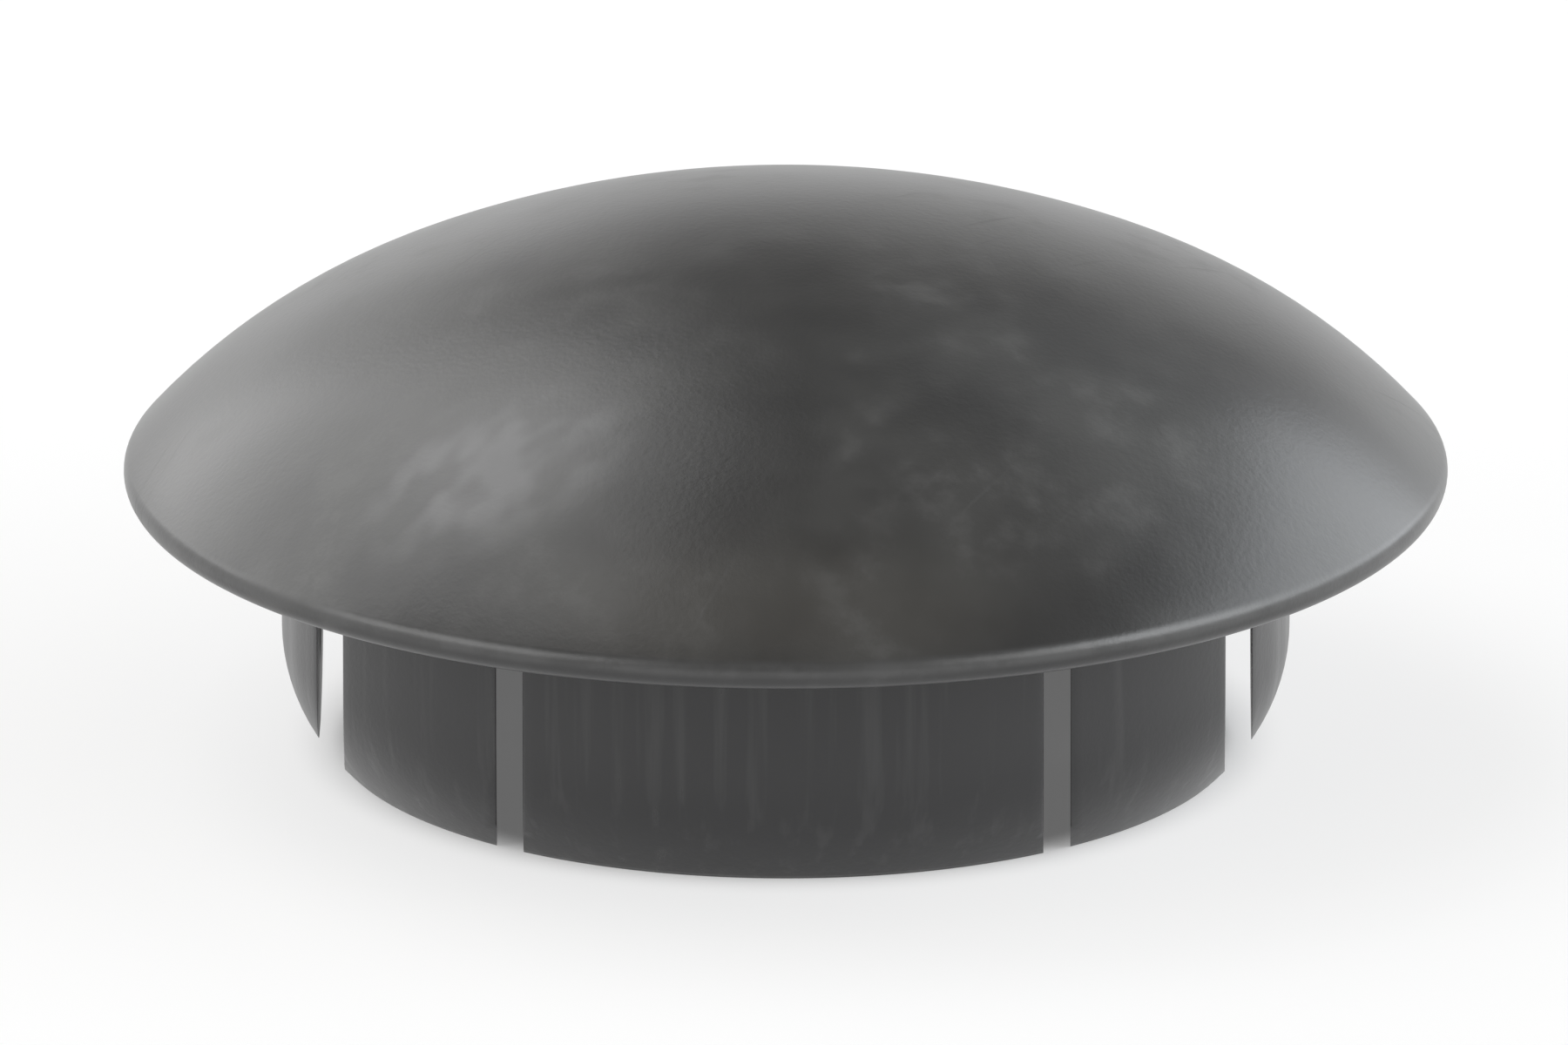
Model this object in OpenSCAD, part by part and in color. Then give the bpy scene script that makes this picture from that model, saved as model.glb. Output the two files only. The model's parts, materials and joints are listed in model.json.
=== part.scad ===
// Domed push-in cap that closes the bore over a tensioner spring.
// One moulding: a thin domed head with a rolled rim, and a slotted skirt that springs into the bore.
// Millimetres. +Z runs up the axis to the crown, and z = 0 is the skirt's bottom edge.
// The slots run along Y, so -Y is the front.

/* [Head] */
// Outer diameter of the rim
head_d = 39.5; // [36:0.5:46]
// Height of the crown above the rim's seat
dome_h = 8.5; // [6.5:0.1:9.8]
// Slope of the dome where the crown arc meets the shoulder arc, in degrees
crown_slope = 25; // [18:1:32]
// Slope of the dome where the shoulder meets the rim, in degrees
rim_slope = 48.5; // [45:0.5:58]
// Thickness of the head
head_wall = 1.5; // [1:0.1:2.4]
// Rounding of the rim's edge
rim_edge_r = 0.6; // [0.3:0.05:0.8]

/* [Skirt] */
// Bore that the cap is pushed into
bore_d = 30; // [26:0.5:32]
// How much wider than the bore the free skirt is
squeeze = 0.1; // [0.05:0.05:0.4]
// Depth of the skirt below the rim's seat
skirt_depth = 7.8; // [6:0.1:14]
// Thickness of the skirt
skirt_wall = 1.05; // [0.9:0.05:1.4]
// Height of the curved lead-in at the skirt's bottom
lead_in_h = 3.6; // [2.5:0.1:4.5]
// How far the skirt's outside comes in at its bottom
lead_in_w = 1.55; // [1.3:0.05:1.8]
// Thickness that is left at the skirt's bottom
tip_w = 0.3; // [0.2:0.05:0.6]

/* [Slots] */
// Width of each slot
slot_w = 0.8; // [0.5:0.1:1.2]
// Width of the narrow fingers between two slots
finger_w = 4.6; // [3:0.1:6]
// How far the outer slots' inner sides lie inside the skirt's mouth
side_gap = 0.1; // [0.05:0.05:0.4]
// How far the slots run up past the skirt's straight outside, into the fillet under the rim
slot_run = 0.3; // [0.2:0.05:0.35]

/* [Fillets] */
// Fillet inside the skirt, under the crown
inner_fillet = 1; // [0.4:0.1:1.6]
// Fillet outside the skirt, under the rim
outer_fillet = 0.5; // [0.4:0.1:0.8]

/* [Hidden] */
$fn = 96;
plastic = "#3a3b3b";

// The rim and the seat under it
head_r = head_d / 2;
seat_z = skirt_depth;
top_z = seat_z + dome_h;
// The rim's rounding takes at most this share of the head's thickness
edge_share = 0.4;
edge_r = min(rim_edge_r, head_wall * edge_share);
edge_x = head_r - edge_r;
edge_z = seat_z + edge_r;

// Tangent arcs lap each other by this much, so that they cross cleanly where they would only touch
lap = 0.01;
lap_angle = 2;

// The dome is a crown arc, then a shoulder arc, each tangent to the next, that ends on the rim's rounding.
// Two sums fix the two radii: the arcs' reach outwards and their drop below the crown.
dome_reach = edge_x + (edge_r - lap) * sin(rim_slope);
dome_drop = top_z - edge_z - (edge_r - lap) * cos(rim_slope);
crown_out = sin(crown_slope);
crown_down = 1 - cos(crown_slope);
shoulder_out = sin(rim_slope) - sin(crown_slope);
shoulder_down = cos(crown_slope) - cos(rim_slope);
arcs_det = crown_out * shoulder_down - shoulder_out * crown_down;
crown_r = (dome_reach * shoulder_down - dome_drop * shoulder_out) / arcs_det;
shoulder_r = (dome_drop * crown_out - dome_reach * crown_down) / arcs_det;
crown_z = top_z - crown_r;
shoulder_x = (crown_r - shoulder_r) * sin(crown_slope);
shoulder_z = crown_z + (crown_r - shoulder_r) * cos(crown_slope);

// The skirt, whose outside and inside curve in to the mouth on arcs that are tangent to its straight walls
skirt_r = (bore_d + squeeze) / 2;
hollow_r = skirt_r - skirt_wall;
mouth_r = skirt_r - lead_in_w - tip_w;
curl_w = hollow_r - mouth_r;
lead_in_r = (lead_in_h ^ 2 + lead_in_w ^ 2) / (2 * lead_in_w);
curl_r = (lead_in_h ^ 2 + curl_w ^ 2) / (2 * curl_w);

// The slots, measured from the mouth so that they part the fingers down to their tips
outer_slot_x = mouth_r - side_gap + slot_w / 2;
inner_slot_x = outer_slot_x - slot_w - finger_w;

// Share of a wall's thickness that the skirt and the fillets reach into the wall they join
join_share = 1 / 2;

// Larger than the part, for cuts that pass right through it
past = head_d + top_z;

// The dome's surface moved inwards by inset, at distance x from the axis: is it the crown arc there?
function on_crown(x, inset) = x < (crown_r - inset) * sin(crown_slope);
// Its slope there
function dome_slope(x, inset) =
    on_crown(x, inset) ? asin(x / (crown_r - inset)) : asin((x - shoulder_x) / (shoulder_r - inset));
// Its height there
function dome_z(x, inset) =
    on_crown(x, inset)
        ? crown_z + (crown_r - inset) * cos(dome_slope(x, inset))
        : shoulder_z + (shoulder_r - inset) * cos(dome_slope(x, inset));

// The slots' tops, and how far out their cut reaches: into the space under the rim, clear of the rim itself
slot_reach = skirt_r + outer_fillet;
slot_top = dome_z(slot_reach, head_wall + outer_fillet) + slot_run;

// The half plane above the seat
module above_seat() {
    translate([0, seat_z]) square(past);
}

// Section under the dome when its surface is moved inwards by inset, above the seat
module under_dome(inset) {
    crown_end = past * [sin(crown_slope), cos(crown_slope)];
    shoulder_start = past * [sin(crown_slope - lap_angle), cos(crown_slope - lap_angle)];
    intersection() {
        above_seat();
        union() {
            intersection() {
                translate([0, crown_z + lap]) circle(crown_r - lap - inset);
                translate([0, crown_z]) polygon([[0, 0], crown_end, [0, crown_end.y]]);
            }
            intersection() {
                translate([shoulder_x, shoulder_z]) circle(shoulder_r - inset);
                translate([0, crown_z]) polygon([[0, 0], [past, 0], [past, shoulder_start.y], shoulder_start]);
            }
        }
    }
}

// Section of the whole head before it is hollowed, with the rounded rim
module head_block() {
    intersection() {
        under_dome(0);
        polygon([
            [0, seat_z],
            [edge_x, seat_z],
            [edge_x, edge_z],
            [edge_x + past * sin(rim_slope), edge_z + past * cos(rim_slope)],
            [0, edge_z + past * cos(rim_slope)]
        ]);
    }
    translate([edge_x, edge_z]) circle(edge_r);
}

// Section of a fillet between the head's underside and a wall at wall_x.
// side is -1 inside the skirt and 1 outside it.
module root_fillet(wall_x, side, r) {
    x = wall_x + side * r;
    z = dome_z(x, head_wall + r);
    slope = dome_slope(x, head_wall + r);
    reach = r + head_wall * join_share;
    in_wall = wall_x - side * skirt_wall * join_share;
    in_head = [x + reach * sin(slope), z + reach * cos(slope)];
    difference() {
        polygon(
            [[x, z], in_head, [in_wall, dome_z(in_wall, head_wall * join_share)], [in_wall, z]],
            [side > 0 ? [0, 1, 2, 3] : [3, 2, 1, 0]]
        );
        translate([x, z]) circle(r + lap);
    }
}

// Section of the skirt, from its bottom edge into the head
module skirt_section() {
    difference() {
        intersection() {
            square([skirt_r, lead_in_h]);
            translate([skirt_r - lead_in_r, lead_in_h]) circle(lead_in_r);
        }
        translate([hollow_r - curl_r, lead_in_h]) circle(curl_r);
    }
    intersection() {
        translate([hollow_r, lead_in_h]) square([skirt_wall, past]);
        union() {
            under_dome(head_wall * join_share);
            square([past, seat_z]);
        }
    }
}

// Section of the cap
module cap_section() {
    difference() {
        head_block();
        under_dome(head_wall);
    }
    skirt_section();
    root_fillet(hollow_r, -1, inner_fillet);
    root_fillet(skirt_r, 1, outer_fillet);
}

// One straight slot across the skirt, with a round end
module slot(x) {
    spring_z = slot_top - slot_w / 2;
    intersection() {
        translate([x, past / 2, 0]) rotate([90, 0, 0]) linear_extrude(past) {
            translate([-slot_w / 2, -past]) square([slot_w, past + spring_z]);
            translate([0, spring_z]) circle(slot_w / 2);
        }
        cylinder(r = slot_reach, h = past, center = true);
    }
}

module cap() {
    color(plastic) difference() {
        rotate_extrude() cap_section();
        for (x = [inner_slot_x, outer_slot_x], side = [-1, 1]) slot(side * x);
    }
}

cap();
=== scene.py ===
# %% [markdown]
# # A moulded spring cap
# The cap is one piece of dark plastic: a thin dome with a rounded rim, over a slotted skirt that springs into
# a bore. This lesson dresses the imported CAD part. It loads the frame, draws the same moulding again as a
# clean mesh with softened edges, gives it a satin finish, and sets a camera and soft light around it.

# %% Load the frame
import json
import math
from typing import Callable, NamedTuple, Optional

import bmesh
import bpy
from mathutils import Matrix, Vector


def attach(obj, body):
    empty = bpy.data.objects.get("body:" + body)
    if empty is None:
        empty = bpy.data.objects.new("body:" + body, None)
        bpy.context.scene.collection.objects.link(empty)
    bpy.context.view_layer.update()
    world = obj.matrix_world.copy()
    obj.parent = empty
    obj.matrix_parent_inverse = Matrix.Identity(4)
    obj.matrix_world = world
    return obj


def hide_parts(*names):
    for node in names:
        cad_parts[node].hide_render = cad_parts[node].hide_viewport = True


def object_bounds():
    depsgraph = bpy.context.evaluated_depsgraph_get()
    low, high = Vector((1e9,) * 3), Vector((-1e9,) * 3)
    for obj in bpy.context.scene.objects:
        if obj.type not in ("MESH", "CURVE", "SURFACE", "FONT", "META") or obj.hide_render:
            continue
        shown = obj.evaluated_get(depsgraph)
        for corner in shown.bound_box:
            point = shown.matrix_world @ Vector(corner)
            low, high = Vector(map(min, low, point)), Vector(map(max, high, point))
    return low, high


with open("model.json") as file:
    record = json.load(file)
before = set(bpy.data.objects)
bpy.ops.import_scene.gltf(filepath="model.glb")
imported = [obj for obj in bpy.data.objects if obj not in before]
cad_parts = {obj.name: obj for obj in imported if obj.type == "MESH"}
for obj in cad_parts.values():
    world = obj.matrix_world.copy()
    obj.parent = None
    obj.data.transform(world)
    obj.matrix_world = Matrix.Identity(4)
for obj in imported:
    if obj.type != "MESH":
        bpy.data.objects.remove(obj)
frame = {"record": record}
cad_low, cad_high = [list(corner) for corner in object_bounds()]
print("CAD box in metres:", cad_low, cad_high)

# %% [markdown]
# The frame already knows the sizes that matter for the fit: the rim and the crown come from the part's box,
# and the skirt's radius and the seat's height from its two mounts. The walls, slots and roundings are
# restated here in millimetres, because a scene can't read the CAD source.

# %% Sizes of the moulding
MM = 0.001
mounts = {mount["name"]: mount for mount in frame["record"]["mounts"]}
head_r = min(cad_high[0], cad_high[1], -cad_low[0], -cad_low[1])
top_z = cad_high[2]
seat_z = mounts["seat"]["pos_m"][2]
skirt_r = mounts["skirt"]["dims"]["r_mm"] * MM

crown_slope = 25
rim_slope = 48.5
head_wall = 1.5 * MM
rim_edge_r = 0.6 * MM
skirt_wall = 1.05 * MM
lead_in_h = 3.6 * MM
lead_in_w = 1.55 * MM
tip_w = 0.3 * MM
slot_w = 0.8 * MM
finger_w = 4.6 * MM
side_gap = 0.1 * MM
slot_run = 0.3 * MM
inner_fillet = 1.0 * MM
outer_fillet = 0.5 * MM

hollow_r = skirt_r - skirt_wall
mouth_r = skirt_r - lead_in_w - tip_w
outer_slot_x = mouth_r - side_gap + slot_w / 2
inner_slot_x = outer_slot_x - slot_w - finger_w
print("rim", round(head_r / MM, 3), "skirt", round(skirt_r / MM, 3), "seat", round(seat_z / MM, 3))

# %% [markdown]
# The dome is two arcs that meet on a common tangent: a flat crown and a tighter shoulder. Two sums fix
# their radii, one for how far the arcs reach outwards and one for how far they drop. Every arc below is
# drawn by the direction its outside faces, measured from straight up, so tangent arcs share an angle.


# %% The dome's two arcs
def facing(angle):
    turn = math.radians(angle)
    return math.sin(turn), math.cos(turn)


def on_arc(centre, radius, angle):
    out, up = facing(angle)
    return centre[0] + radius * out, centre[1] + radius * up


def arc(centre, radius, start, end, steps):
    return [on_arc(centre, radius, start + (end - start) * i / steps) for i in range(steps + 1)]


edge_centre = (head_r - rim_edge_r, seat_z + rim_edge_r)
crown_out, crown_cos = facing(crown_slope)
rim_out, rim_cos = facing(rim_slope)
dome_reach = edge_centre[0] + rim_edge_r * rim_out
dome_drop = top_z - edge_centre[1] - rim_edge_r * rim_cos
shoulder_out = rim_out - crown_out
shoulder_down = crown_cos - rim_cos
det = crown_out * shoulder_down - shoulder_out * (1 - crown_cos)
crown_r = (dome_reach * shoulder_down - dome_drop * shoulder_out) / det
shoulder_r = (dome_drop * crown_out - dome_reach * (1 - crown_cos)) / det
crown_centre = (0, top_z - crown_r)
shoulder_centre = on_arc(crown_centre, crown_r - shoulder_r, crown_slope)
under_crown_r = crown_r - head_wall
under_shoulder_r = shoulder_r - head_wall
print("crown radius", round(crown_r / MM, 2), "shoulder radius", round(shoulder_r / MM, 2))

# %% [markdown]
# A fillet rolls along the underside of the shoulder and touches a wall of the skirt. Its centre lies its own
# radius away from both, so the height follows from the shoulder's arc made smaller by that radius.


# %% Fillets under the head
def fillet_under_shoulder(wall_r, side, radius):
    x = wall_r + side * radius
    slope = math.degrees(math.asin((x - shoulder_centre[0]) / (under_shoulder_r - radius)))
    return on_arc(shoulder_centre, under_shoulder_r - radius, slope), slope


outer_root, outer_root_slope = fillet_under_shoulder(skirt_r, 1, outer_fillet)
inner_root, inner_root_slope = fillet_under_shoulder(hollow_r, -1, inner_fillet)
seat_angle = math.degrees(math.acos((seat_z - shoulder_centre[1]) / under_shoulder_r))
slot_top = outer_root[1] + slot_run
spring_z = slot_top - slot_w / 2
print("fillet heights", round(outer_root[1] / MM, 3), round(inner_root[1] / MM, 3))

# %% [markdown]
# The section is drawn in stretches. The first goes from the crown round the rim to the outer fillet, and the
# last from the inner fillet back to the crown. Both are whole rings, which the slots don't reach.

# %% The section of the head
CROWN_STEPS, SHOULDER_STEPS, RIM_STEPS, FILLET_STEPS = 22, 12, 18, 6
outside = arc(crown_centre, crown_r, 0, crown_slope, CROWN_STEPS)[1:]
outside += arc(shoulder_centre, shoulder_r, crown_slope, rim_slope, SHOULDER_STEPS)[1:]
outside += arc(edge_centre, rim_edge_r, rim_slope, 180, RIM_STEPS)[1:]
seat_ring = len(outside)
outside += arc(shoulder_centre, under_shoulder_r, seat_angle, outer_root_slope, SHOULDER_STEPS)

inside = arc(inner_root, inner_fillet, 90, inner_root_slope, FILLET_STEPS)
inside += arc(shoulder_centre, under_shoulder_r, inner_root_slope, crown_slope, FILLET_STEPS)[1:]
inside += arc(crown_centre, under_crown_r, crown_slope, 0, CROWN_STEPS)[1:-1]
print("section points:", len(outside), "outside,", len(inside), "inside")

# %% [markdown]
# The fingers of the skirt curve in at the bottom, so that the cap finds its bore. Both of their sides do it
# on arcs, and each row of the mesh has an outside and an inside point at the same height. The slivers beyond
# the outer slots end higher up, where the lead-in meets the slot's plane, so one row lies at that height.


# %% Rows down a finger
def arc_radius(rise, width):
    return (rise**2 + width**2) / (2 * width)


lead_in_r = arc_radius(lead_in_h, lead_in_w)
curl_r = arc_radius(lead_in_h, hollow_r - mouth_r)
lead_centre = (skirt_r - lead_in_r, lead_in_h)
sliver_x = outer_slot_x + slot_w / 2
sliver_end = 180 - math.degrees(math.asin((sliver_x - lead_centre[0]) / lead_in_r))
tip_end = 90 + math.degrees(math.asin(lead_in_h / lead_in_r))


def inside_r(z):
    below = max(0, lead_in_h - z)
    return hollow_r - curl_r + math.sqrt(curl_r**2 - below**2)


WALL_STEPS, LEAD_STEPS, TIP_STEPS = 8, 10, 3
rows = [(skirt_r, spring_z + (lead_in_h - spring_z) * i / WALL_STEPS) for i in range(1, WALL_STEPS)]
rows += arc(lead_centre, lead_in_r, 90, sliver_end, LEAD_STEPS)
sliver_rows = len(rows)
rows += arc(lead_centre, lead_in_r, sliver_end, tip_end, TIP_STEPS)[1:]
print("rows on a finger:", len(rows), "of which on a sliver:", sliver_rows)

# %% [markdown]
# The slots are straight cuts along Y, so their sides are planes of constant x. If the mesh's columns follow
# those planes, every slot edge is a clean line of the mesh and no boolean is needed. A column is a function
# from radius to angle: on a slot it keeps its x, and between slots it shares out the angle evenly.

# %% Columns around the axis
CENTRE_STEPS, FINGER_STEPS, SLIVER_STEPS, SLOT_STEPS = 20, 16, 16, 8


class Column(NamedTuple):
    angle: Callable
    off_slot: Optional[float] = None
    on_sliver: bool = False


def keeps_x(x):
    return lambda r: math.asin(min(1, x / r))


def shares_angle(first, last, t):
    return lambda r: first(r) + (last(r) - first(r)) * t


def between(first, last, steps, on_sliver=False):
    shares = [i / steps for i in range(1, steps)]
    return [Column(shares_angle(first, last, t), None, on_sliver) for t in shares]


def across_slot(x):
    offs = [-slot_w / 2 * math.cos(math.pi * i / SLOT_STEPS) for i in range(SLOT_STEPS + 1)]
    return [Column(keeps_x(x + off), off, x + off > sliver_x - side_gap / 2) for off in offs]


ahead, sideways = (lambda r: 0.0), (lambda r: math.pi / 2)
inner_slot, outer_slot = across_slot(inner_slot_x), across_slot(outer_slot_x)
quarter = [Column(ahead)] + between(ahead, inner_slot[0].angle, CENTRE_STEPS)
quarter += inner_slot + between(inner_slot[-1].angle, outer_slot[0].angle, FINGER_STEPS)
quarter += outer_slot + between(outer_slot[-1].angle, sideways, SLIVER_STEPS, True)
print("columns in a quarter:", len(quarter))

# %% [markdown]
# One quarter is mirrored to give a half turn, and the half turned once more to give the ring. Each column
# also knows how far it lies from the middle of its slot, which gives the height of the slot's round end.


# %% The whole ring of columns
def mirrored(column):
    return column._replace(angle=lambda r: math.pi - column.angle(r))


def turned(column):
    return column._replace(angle=lambda r: math.pi + column.angle(r))


half = quarter + [Column(sideways, None, True)] + [mirrored(column) for column in quarter[:0:-1]]
columns = half + [turned(column) for column in half]
count = len(columns)
WELL_INSIDE = 0.999


def in_slot(j):
    off = columns[j % count].off_slot
    return off is not None and abs(off) < slot_w / 2 * WELL_INSIDE


def opens(j):
    return in_slot(j) or in_slot(j + 1)


def slot_end_z(j):
    off = columns[j].off_slot
    return spring_z if off is None else spring_z + math.sqrt(max(0, slot_w**2 / 4 - off**2))


print("columns:", count, "of which open:", sum(opens(j) for j in range(count)))

# %% [markdown]
# Now the mesh itself. A ring puts one point on every column, and points that fall together become one. The
# slots' round ends cut into the outer fillet, so there each column follows the fillet and the wall down to
# its own end, in equal steps.

# %% Points and the way down the outer fillet
points, known = [], {}
SAME = 0.0001 * MM


def point(x, y, z):
    key = (round(x / SAME), round(y / SAME), round(z / SAME))
    if key not in known:
        known[key] = len(points)
        points.append((x, y, z))
    return known[key]


def place_on(column, r, z, column_r):
    turn = column.angle(column_r)
    return point(r * math.sin(turn), -r * math.cos(turn), z)


def down_the_root(j, share):
    end_z = slot_end_z(j)
    above = min(1, max(0, (end_z - outer_root[1]) / outer_fillet))
    arc_end = -math.degrees(math.acos(above))
    arc_length = outer_fillet * math.radians(outer_root_slope - arc_end)
    way = share * (arc_length + max(0, outer_root[1] - end_z))
    if way <= arc_length:
        return on_arc(outer_root, outer_fillet, outer_root_slope - math.degrees(way / outer_fillet))
    return skirt_r, outer_root[1] + arc_length - way


root_start_r = on_arc(outer_root, outer_fillet, outer_root_slope)[0]
print("the fillet starts", round(root_start_r / MM, 3), "mm from the axis")

# %% [markdown]
# The head's rings use the columns as they lie where the fillet starts, so that their lines run straight over
# the dome. Below the round ends each finger has rows of its own. On a sliver the slot's plane lies further
# out than the curved inside, so its points stay on that plane.

# %% Rings of the head and rows of the fingers
ROOT_STEPS, BAND_STEPS = 8, 4


def level_ring(r, z, column_r):
    return [place_on(column, r, z, column_r) for column in columns]


def root_ring(share):
    places = [down_the_root(j, share) for j in range(count)]
    return [place_on(column, r, z, r) for column, (r, z) in zip(columns, places)]


def band_ring(share):
    heights = [slot_end_z(j) + (inner_root[1] - slot_end_z(j)) * share for j in range(count)]
    return [place_on(column, hollow_r, z, hollow_r) for column, z in zip(columns, heights)]


def finger_row(r, z):
    reaches = [max(r, sliver_x) if column.on_sliver else r for column in columns]
    return [None if in_slot(j) else place_on(columns[j], reach, z, reach) for j, reach in enumerate(reaches)]


outer_rings = [level_ring(r, z, root_start_r) for r, z in outside]
outer_rings += [root_ring(i / ROOT_STEPS) for i in range(1, ROOT_STEPS + 1)]
inner_rings = [band_ring(i / BAND_STEPS) for i in range(BAND_STEPS)]
inner_rings += [level_ring(r, z, hollow_r) for r, z in inside]
finger_out = [outer_rings[-1]] + [finger_row(r, z) for r, z in rows]
finger_in = [inner_rings[0]] + [finger_row(inside_r(z), z) for r, z in rows]
print("points:", len(points))

# %% [markdown]
# Faces join each ring to the next. A face whose corners fall together loses them, which closes the slivers
# to a point at their ends.

# %% Faces
faces = []


def face(*corners):
    left = list(dict.fromkeys(corners))
    if len(left) > 2:
        faces.append(left)


def join(upper, lower, where):
    for j in range(count):
        k = (j + 1) % count
        if where(j):
            face(upper[j], lower[j], lower[k], upper[k])


def everywhere(j):
    return True


def both_on_sliver(j):
    return columns[j].on_sliver and columns[(j + 1) % count].on_sliver


def on_finger(row):
    return lambda j: not opens(j) and not (row > sliver_rows and both_on_sliver(j))


for upper, lower in zip(outer_rings, outer_rings[1:]):
    join(upper, lower, everywhere)
for upper, lower in zip(inner_rings, inner_rings[1:]):
    join(upper, lower, everywhere)
for row in range(1, len(finger_out)):
    join(finger_out[row - 1], finger_out[row], on_finger(row))
    join(finger_in[row], finger_in[row - 1], on_finger(row))
join(finger_out[-1], finger_in[-1], on_finger(len(finger_out)))
join(outer_rings[-1], inner_rings[0], opens)
print("faces:", len(faces))

# %% [markdown]
# The slot sides are strips between the outside and the inside of a finger, and the crown's two middles are
# closed by fans. The outer edges along the slots and the seat's inner edge are noted, to be softened next.

# %% Slot sides and crown middles
SOFT_FROM_Z = 0.8 * MM
soft_pairs = []
slot_sides = [j for j in range(count) if not in_slot(j) and (in_slot(j - 1) or in_slot(j + 1))]
for j in slot_sides:
    last = sliver_rows if columns[j].on_sliver else len(rows)
    for row in range(last):
        face(finger_out[row][j], finger_out[row + 1][j], finger_in[row + 1][j], finger_in[row][j])
        if rows[row][1] > SOFT_FROM_Z:
            soft_pairs.append((finger_out[row][j], finger_out[row + 1][j]))

seat_edge = outer_rings[seat_ring]
soft_pairs += [(seat_edge[j], seat_edge[(j + 1) % count]) for j in range(count)]
for rim_ring, middle_z in ((outer_rings[0], top_z), (inner_rings[-1], top_z - head_wall)):
    middle = point(0, 0, middle_z)
    for j in range(count):
        face(middle, rim_ring[j], rim_ring[(j + 1) % count])
print("faces with slot sides and middles:", len(faces), "edges to soften:", len(soft_pairs))

# %% [markdown]
# No moulded edge is quite sharp. A narrow bevel on the noted edges gives each of them a thin line of light.
# Normals weighted by face area then keep the flat faces flat beside it.

# %% Softened edges
EDGE_SOFT = 0.07 * MM
SOFT_STEPS, ROUND_PROFILE = 2, 0.5
SHARP_ANGLE = math.radians(50)
moulding_mesh = bpy.data.meshes.new("cap_moulding")
moulding_mesh.from_pydata(points, [], faces)
sheet = bmesh.new()
sheet.from_mesh(moulding_mesh)
sheet.verts.ensure_lookup_table()
bmesh.ops.recalc_face_normals(sheet, faces=sheet.faces)
soft_edges = [sheet.edges.get((sheet.verts[a], sheet.verts[b])) for a, b in soft_pairs]
soft_edges = [edge for edge in soft_edges if edge]
bevel = {"offset": EDGE_SOFT, "offset_type": "OFFSET", "segments": SOFT_STEPS, "profile": ROUND_PROFILE}
bmesh.ops.bevel(sheet, geom=soft_edges, affect="EDGES", clamp_overlap=False, **bevel)
open_edges = [edge for edge in sheet.edges if len(edge.link_faces) != 2]
volume = sheet.calc_volume()
sheet.to_mesh(moulding_mesh)
sheet.free()
moulding_mesh.polygons.foreach_set("use_smooth", [True] * len(moulding_mesh.polygons))
moulding_mesh.set_sharp_from_angle(angle=SHARP_ANGLE)
print("softened:", len(soft_edges), "open edges:", len(open_edges), "volume mm3:", round(volume / MM**3, 1))

# %% [markdown]
# The moulding rides on the part's one body and stands in for its CAD node.

# %% The piece in the frame
cap_moulding = bpy.data.objects.new("cap_moulding", moulding_mesh)
bpy.context.scene.collection.objects.link(cap_moulding)
weighted = cap_moulding.modifiers.new("face_weights", "WEIGHTED_NORMAL")
weighted.keep_sharp = True
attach(cap_moulding, "root")
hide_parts("cap")
print("piece:", cap_moulding.name, [round(side / MM, 2) for side in cap_moulding.dimensions])

# %% [markdown]
# Shader maths reads best as plain sums. The class below holds one output of a node, and each operator on it
# adds a Math node, so a mask is written as an expression. Any other node comes from its one method, node.


# %% A socket that can be reckoned with
class Wire:
    def __init__(self, tree, socket=None):
        self.tree = tree
        self.socket = socket

    def node(self, kind, settings=None, sockets=None, out=0):
        made = self.tree.nodes.new(kind)
        for name, value in (settings or {}).items():
            setattr(made, name, value)
        for name, value in (sockets or {}).items():
            if isinstance(value, Wire):
                self.tree.links.new(value.socket, made.inputs[name])
            else:
                made.inputs[name].default_value = value
        return Wire(self.tree, made.outputs[out] if made.outputs else None)

    def maths(self, operation, *values):
        return self.node("ShaderNodeMath", {"operation": operation}, dict(enumerate(values)))

    def __add__(self, other):
        return self.maths("ADD", self, other)

    def __sub__(self, other):
        return self.maths("SUBTRACT", self, other)

    def __rsub__(self, other):
        return self.maths("SUBTRACT", other, self)

    def __mul__(self, other):
        return self.maths("MULTIPLY", self, other)

    def __truediv__(self, other):
        return self.maths("DIVIDE", self, other)

    def __rtruediv__(self, other):
        return self.maths("DIVIDE", other, self)

    def __pow__(self, other):
        return self.maths("POWER", self, other)

    def __rpow__(self, other):
        return self.maths("POWER", other, self)

    __radd__ = __add__
    __rmul__ = __mul__

    def part(self, axis):
        return self.node("ShaderNodeSeparateXYZ", None, {0: self}, out=axis)

    def ramp(self, low, high):
        limits = {"Value": self, "From Min": low, "From Max": high}
        return self.node("ShaderNodeMapRange", {"interpolation_type": "SMOOTHSTEP"}, limits)

    def noise(self, at, size, detail=2.0, roughness=0.5):
        sockets = {"Vector": at, "Scale": 1 / size, "Detail": detail, "Roughness": roughness}
        return self.node("ShaderNodeTexNoise", {"noise_dimensions": "3D"}, sockets)

    def mix_colour(self, first, second):
        sockets = {0: self, 6: first, 7: second}
        return self.node("ShaderNodeMix", {"data_type": "RGBA"}, sockets, out=2)


def first_wire(owner):
    owner.use_nodes = True
    owner.node_tree.nodes.clear()
    return Wire(owner.node_tree)


print("operators: + - * / **")
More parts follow.
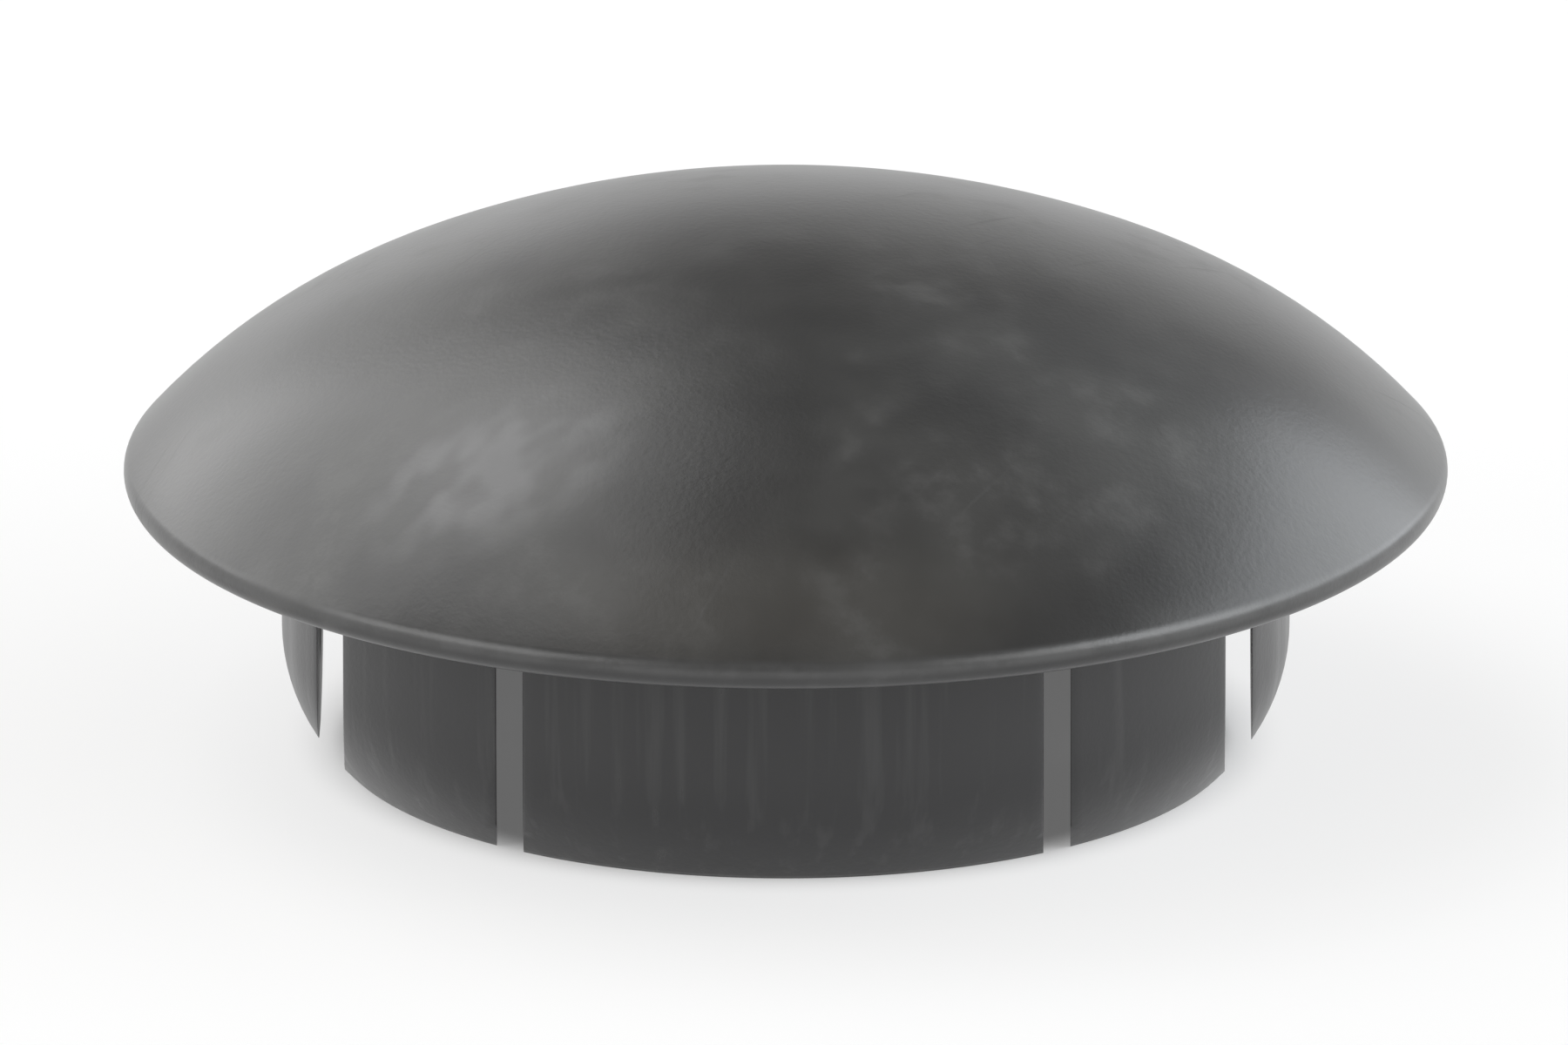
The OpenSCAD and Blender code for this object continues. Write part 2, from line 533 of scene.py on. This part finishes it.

# %% [markdown]
# The plastic is a dark, satin moulding. To put marks in the right places, the finish needs to know how far a
# point lies from the axis, how high it is, how near it is to the rim's outermost line, and how far it is from
# the patch at the dome's front left, which is smeared and also carries a painted reflection of the left
# light.

# %% Where on the cap a point lies
LIP_Z = seat_z + 0.75 * MM
HEAD_FADE = 0.4 * MM
PATCH_X, PATCH_Y = -8.4 * MM, -12.3 * MM
PATCH_W, PATCH_D = 5.0 * MM, 3.6 * MM
plastic = bpy.data.materials.new("cap_plastic")
start = first_wire(plastic)
place = start.node("ShaderNodeTexCoord", out="Object")
across, along, height = [place.part(axis) for axis in "XYZ"]
from_axis = (across * across + along * along) ** 0.5
lip_off = ((from_axis - head_r) ** 2 + (height - LIP_Z) ** 2) ** 0.5
on_head = height.ramp(seat_z - HEAD_FADE, seat_z)
# painted shade: the skirt and the lower half of the rim's edge are darkened as if in the rim's shade
shade_below_lip = 1 - height.ramp(seat_z, LIP_Z)
patch_across = (across - PATCH_X) / PATCH_W
patch_along = (along - PATCH_Y) / PATCH_D
patch_off = (patch_across * patch_across + patch_along * patch_along) ** 0.5
print("nodes for places:", len(plastic.node_tree.nodes))

# %% [markdown]
# The mould was lightly eroded, which leaves a grain of about a fifth of a millimetre. Handling has rubbed the
# dome in soft clouds with a few hairlines. One smeared patch at the front left is partly a scuff and partly a
# painted reflection of the left light, and a paler line along the rim's edge is partly wear where it was
# knocked and partly a painted highlight. Faint drag marks run down the skirt from the way it left the mould.
# The skirt and the lower half of the rim's edge are painted darker, as shade under the rim. Noise at
# different sizes gives the marks.

# %% Grain, clouds, wear and painted light
GRAIN_SIZE, CLOUD_SIZE, RUB_SIZE = 0.2 * MM, 6 * MM, 1.6 * MM
SMEAR_SIZE, HAIR_SIZE, DRAG_SIZE = 1.1 * MM, 0.18 * MM, 0.65 * MM
SMEAR_TURN, HAIR_TURN, DRAG_TURN = 50, 35, 0
SMEAR_PULL, HAIR_PULL, DRAG_PULL = (1, 0.4, 1), (1, 0.03, 0.03), (1, 1, 0.05)
LIP_CORE, LIP_FADE = 0.12 * MM, 0.36 * MM
grain = start.noise(place, GRAIN_SIZE, 2.0, 0.6)
clouds = start.noise(place, CLOUD_SIZE, 3.0, 0.55)
rubs = start.noise(place, RUB_SIZE, 5.0, 0.65)
rubbed = rubs.ramp(0.46, 0.70) * clouds.ramp(0.42, 0.62) * on_head
# partly wear and partly a painted highlight: a paler line along the rim's edge
worn_lip_and_highlight = (1 - lip_off.ramp(LIP_CORE, LIP_FADE)) * (0.45 + 0.55 * rubs.ramp(0.38, 0.60))


def stretched(turn, scale):
    sockets = {"Vector": place, "Angle": math.radians(turn)}
    turned_place = start.node("ShaderNodeVectorRotate", {"rotation_type": "Z_AXIS"}, sockets)
    return start.node("ShaderNodeVectorMath", {"operation": "MULTIPLY"}, {0: turned_place, 1: scale})


# the front-left patch is partly a scuff and partly a painted reflection of the left light on the dome
smear_and_reflection_streaks = start.noise(stretched(SMEAR_TURN, SMEAR_PULL), SMEAR_SIZE, 1.0).ramp(0.34, 0.68)
smear_and_reflection_patch = (1 - patch_off.ramp(0.30, 1.0)) * (0.30 + 0.70 * smear_and_reflection_streaks) * on_head
hairlines = start.noise(stretched(HAIR_TURN, HAIR_PULL), HAIR_SIZE, 1.0, 0.4).ramp(0.68, 0.76)
hairlines = hairlines * on_head * clouds.ramp(0.45, 0.60)
drag_marks = start.noise(stretched(DRAG_TURN, DRAG_PULL), DRAG_SIZE, 3.0, 0.6).ramp(0.50, 0.72)
drag_marks = drag_marks * (1 - on_head)
print("nodes with the finish's masks:", len(plastic.node_tree.nodes))

# %% [markdown]
# Each mask mixes in its own tone of the plastic, from the clouds up to the worn lip with its painted
# highlight, and most of them move the roughness a little. The painted shade under the rim and the painted
# reflection in the front-left patch are mixed in the same way. The grain and the rubs also give a shallow
# relief.

# %% The satin finish
DARK = (0.028, 0.028, 0.028, 1)
PALE = (0.050, 0.050, 0.049, 1)
RUBBED = (0.080, 0.080, 0.079, 1)
# a paler tone for the rim's edge, partly wear and partly a painted highlight
WORN_AND_HIGHLIGHT = (0.060, 0.060, 0.060, 1)
# a pale tone for the front-left patch, partly a scuff and partly a painted reflection
SMEAR_AND_REFLECTION = (0.150, 0.151, 0.154, 1)
# a darker tone that paints the shade under the rim
SHADE_UNDER_RIM = (0.017, 0.017, 0.018, 1)
LEAST_ROUGH, PLASTIC_IOR = 0.26, 1.55
RELIEF_STRENGTH, RELIEF_DEPTH = 0.28, 0.02 * MM
colour = clouds.ramp(0.30, 0.70).mix_colour(DARK, PALE)
colour = shade_below_lip.mix_colour(colour, SHADE_UNDER_RIM)
colour = (rubbed * 0.5 + drag_marks * 0.22 + hairlines * 0.1).mix_colour(colour, RUBBED)
colour = (smear_and_reflection_patch * 0.8).mix_colour(colour, SMEAR_AND_REFLECTION)
colour = worn_lip_and_highlight.mix_colour(colour, WORN_AND_HIGHLIGHT)
roughness = LEAST_ROUGH + clouds * 0.12 + rubbed * 0.06 + smear_and_reflection_patch * 0.08
roughness = roughness - drag_marks * 0.04 + hairlines * 0.05
relief = grain + rubs * 0.5
dents = {"Height": relief, "Strength": RELIEF_STRENGTH, "Distance": RELIEF_DEPTH}
bump = start.node("ShaderNodeBump", None, dents)
finish = {"Base Color": colour, "Roughness": roughness, "Normal": bump, "IOR": PLASTIC_IOR}
surface = start.node("ShaderNodeBsdfPrincipled", None, finish)
start.node("ShaderNodeOutputMaterial", None, {"Surface": surface})
moulding_mesh.materials.append(plastic)
print("nodes in the plastic:", len(plastic.node_tree.nodes))

# %% [markdown]
# The photograph looks down on the cap at a low angle and from far away, so it has hardly any perspective. The
# camera stands sixty rim radii off with a long lens, and a touch to the right, because the slots at the front
# lie a little left of the middle. The seat's middle falls where the photograph has it.

# %% Camera
PHOTO_W, PHOTO_H = 1800, 1200
RIM_HALF_PX = 759.8
SEAT_PX = (902, 558.5)
ELEVATION, TURN = math.radians(18.1), math.radians(0.35)
STAND_OFF = 60
SENSOR_W = 36
CLIP_NEAR, CLIP_FAR = 0.01, 10
right = Vector((math.cos(TURN), math.sin(TURN), 0))
ground_back = Vector((math.sin(TURN), -math.cos(TURN), 0))
back = ground_back * math.cos(ELEVATION) + Vector((0, 0, math.sin(ELEVATION)))
up = back.cross(right)
px = head_r / RIM_HALF_PX
seat_right = (SEAT_PX[0] - PHOTO_W / 2) * px
seat_up = (PHOTO_H / 2 - SEAT_PX[1]) * px
aim = Vector((0, 0, seat_z)) - right * seat_right - up * seat_up

camera_data = bpy.data.cameras.new("camera")
camera = bpy.data.objects.new("camera", camera_data)
camera_data.sensor_width = SENSOR_W
camera_data.lens = SENSOR_W * RIM_HALF_PX * STAND_OFF / PHOTO_W
camera_data.clip_start = CLIP_NEAR
camera_data.clip_end = CLIP_FAR
camera.location = aim + back * head_r * STAND_OFF
camera.rotation_euler = (-back).to_track_quat("-Z", "Y").to_euler()
bpy.context.scene.collection.objects.link(camera)
bpy.context.scene.camera = camera
print("camera", [round(v, 4) for v in camera.location], "lens", round(camera_data.lens, 1))

# %% [markdown]
# The ground is white, and hardly any shadow shows on it. The floor is a white disc. Where it is seen or
# mirrored, most of its white is its own glow and the rest is lit, so it keeps the cap's soft contact shadow.
# Under the cap it glows less, and the slots show grey.

# %% White ground
FLOOR_R, FLOOR_SIDES = 0.9, 96
FLOOR_GAP = 0.01 * MM
FLOOR_WHITE, PURE_WHITE = (0.86, 0.86, 0.86, 1), (1, 1, 1, 1)
GLOW, GLOW_UNDER_CAP = 0.70, 0.13
floor_mesh = bpy.data.meshes.new("floor")
disc = bmesh.new()
bmesh.ops.create_circle(disc, cap_ends=True, segments=FLOOR_SIDES, radius=FLOOR_R)
disc.to_mesh(floor_mesh)
disc.free()
floor = bpy.data.objects.new("floor", floor_mesh)
bpy.context.scene.collection.objects.link(floor)
floor.location.z = -FLOOR_GAP

white = bpy.data.materials.new("white_ground")
ground = first_wire(white)
paint = ground.node("ShaderNodeBsdfDiffuse", None, {"Color": FLOOR_WHITE})
glow = ground.node("ShaderNodeEmission", None, {"Color": PURE_WHITE, "Strength": 1.0})
kinds = ("Is Camera Ray", "Is Glossy Ray", "Is Transmission Ray")
camera_ray, glossy_ray, transmission_ray = [ground.node("ShaderNodeLightPath", out=kind) for kind in kinds]
seen = ground.maths("MAXIMUM", ground.maths("MAXIMUM", camera_ray, glossy_ray), transmission_ray)
spot = ground.node("ShaderNodeTexCoord", out="Object")
spot_r = ground.node("ShaderNodeVectorMath", {"operation": "LENGTH"}, {0: spot}, out="Value")
beside_cap = spot_r.ramp(mouth_r - skirt_wall, skirt_r)
share = seen * (GLOW_UNDER_CAP + (GLOW - GLOW_UNDER_CAP) * beside_cap)
both = ground.node("ShaderNodeMixShader", None, {0: share, 1: paint, 2: glow})
ground.node("ShaderNodeOutputMaterial", None, {"Surface": both})
floor_mesh.materials.append(white)
print("floor radius", FLOOR_R)

# %% [markdown]
# The light is soft, and the dome mirrors it. The room is white near the ground and dim overhead, which keeps
# the crown dark and lights its far edge. It is dim in front as well, where the camera stands, so the skirt
# stays dark.

# %% The room
NEAR_GROUND, OVERHEAD, FRONT_DIM = 1.12, 0.12, 0.8
DIM_FROM, DIM_TO = 0.05, 0.58
FRONT_FROM, FRONT_TO = -0.95, -0.55
WARM_ROOM = (1.0, 0.95, 0.88, 1)
world = bpy.data.worlds.new("studio")
bpy.context.scene.world = world
sky = first_wire(world)
direction = sky.node("ShaderNodeTexCoord", out="Generated")
behind, rise = direction.part("Y"), direction.part("Z")
in_front = 1 - behind.ramp(FRONT_FROM, FRONT_TO)
dimness = 1 - (1 - rise.ramp(DIM_FROM, DIM_TO)) * (1 - FRONT_DIM * in_front)
low_room = sky.node("ShaderNodeBackground", None, {"Color": PURE_WHITE, "Strength": NEAR_GROUND})
high_room = sky.node("ShaderNodeBackground", None, {"Color": WARM_ROOM, "Strength": OVERHEAD})
room = sky.node("ShaderNodeMixShader", None, {0: dimness, 1: low_room, 2: high_room})
sky.node("ShaderNodeOutputWorld", None, {"Surface": room})
print("room from", NEAR_GROUND, "to", OVERHEAD)

# %% [markdown]
# Panels on the left give the broad sheen on that side, and panels on the right the cooler edge there. The
# two low ones at the front draw the thin line along the rim, and a faint warm one hangs high in front. Each
# is set by its direction, half its spread in degrees, its strength and its tint.

# %% Soft panels
PANEL_AWAY = 0.6


def panel(name, azimuth, elevation, spread, radiance, tint):
    turn, lift = math.radians(azimuth), math.radians(elevation)
    towards = Vector((math.sin(turn) * math.cos(lift), -math.cos(turn) * math.cos(lift), math.sin(lift)))
    data = bpy.data.lights.new(name, "AREA")
    data.shape = "RECTANGLE"
    data.size, data.size_y = [2 * PANEL_AWAY * math.tan(math.radians(half)) for half in spread]
    data.energy = radiance * math.pi * data.size * data.size_y
    data.color = tint
    lamp = bpy.data.objects.new(name, data)
    lamp.location = Vector((0, 0, seat_z)) + towards * PANEL_AWAY
    lamp.rotation_euler = (-towards).to_track_quat("-Z", "Y").to_euler()
    bpy.context.scene.collection.objects.link(lamp)
    print(name, "size", round(data.size, 3), round(data.size_y, 3), "power", round(data.energy, 3))


PLAIN, WARM, COOL = (1.0, 1.0, 1.0), (1.0, 0.86, 0.64), (0.92, 0.96, 1.0)
panel("left_panel", -125, 36, (27, 25), 2.3, PLAIN)
panel("left_back_panel", -160, 16, (13, 11), 0.4, PLAIN)
panel("left_high_panel", -104, 68, (26, 11), 1.6, PLAIN)
panel("left_front_panel", -60, 21, (26, 13), 2.7, PLAIN)
panel("right_panel", 99, 23, (42, 19), 3.0, COOL)
panel("right_front_panel", 58, 19, (28, 13), 1.8, PLAIN)
panel("right_fill_panel", 134, 45, (24, 14), 0.42, COOL)
panel("front_high_panel", 0, 74, (24, 10), 0.45, WARM)
bpy.context.scene.view_settings.view_transform = "Standard"

# %% [markdown]
# The view layer is brought up to date.

# %% Update the view layer
bpy.context.view_layer.update()
